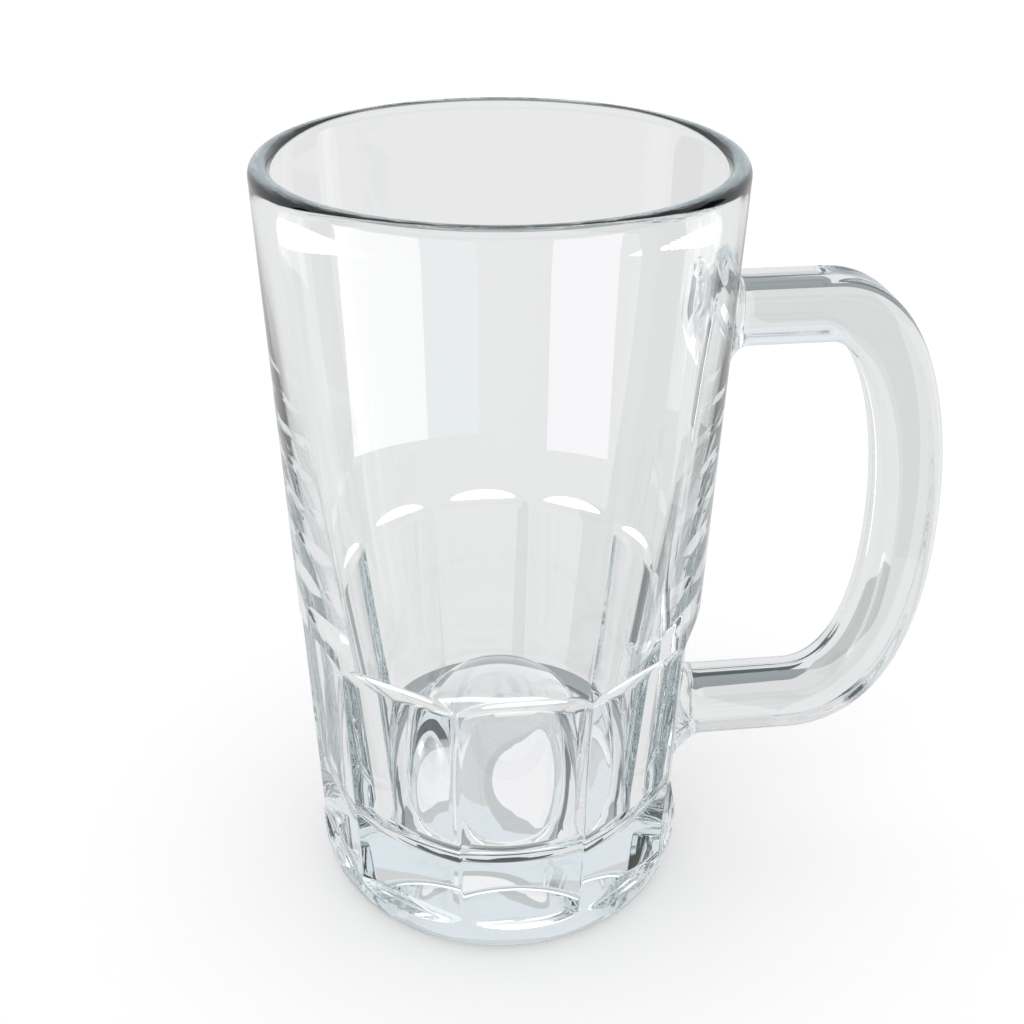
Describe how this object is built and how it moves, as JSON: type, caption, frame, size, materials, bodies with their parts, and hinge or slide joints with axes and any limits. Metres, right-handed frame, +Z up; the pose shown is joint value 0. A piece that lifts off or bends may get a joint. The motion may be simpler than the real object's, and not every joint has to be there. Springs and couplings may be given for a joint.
{
  "type": "beer mug",
  "caption": "Clear pressed-glass beer mug with a tapering body, flat facets round the lower half, a domed floor and a solid D-shaped handle, for holding and drinking beer.",
  "frame": {"origin": "on the standing plane, below the middle of the overall length, half-way between the far side of the rim and the outside of the grip; the body's own axis is parallel to Z at x = -0.02155 m", "axes": "+Z up along the body's axis, +X towards the handle, +Y across the handle"},
  "size_m": [0.1252, 0.082, 0.1435],
  "materials": {
    "body_glass": "clear pressed glass, fire polished",
    "handle_glass": "clear pressed glass, fire polished"
  },
  "bodies": {
    "root": {"mug_body": "body_glass", "handle": "handle_glass"}
  },
  "joints": []
}
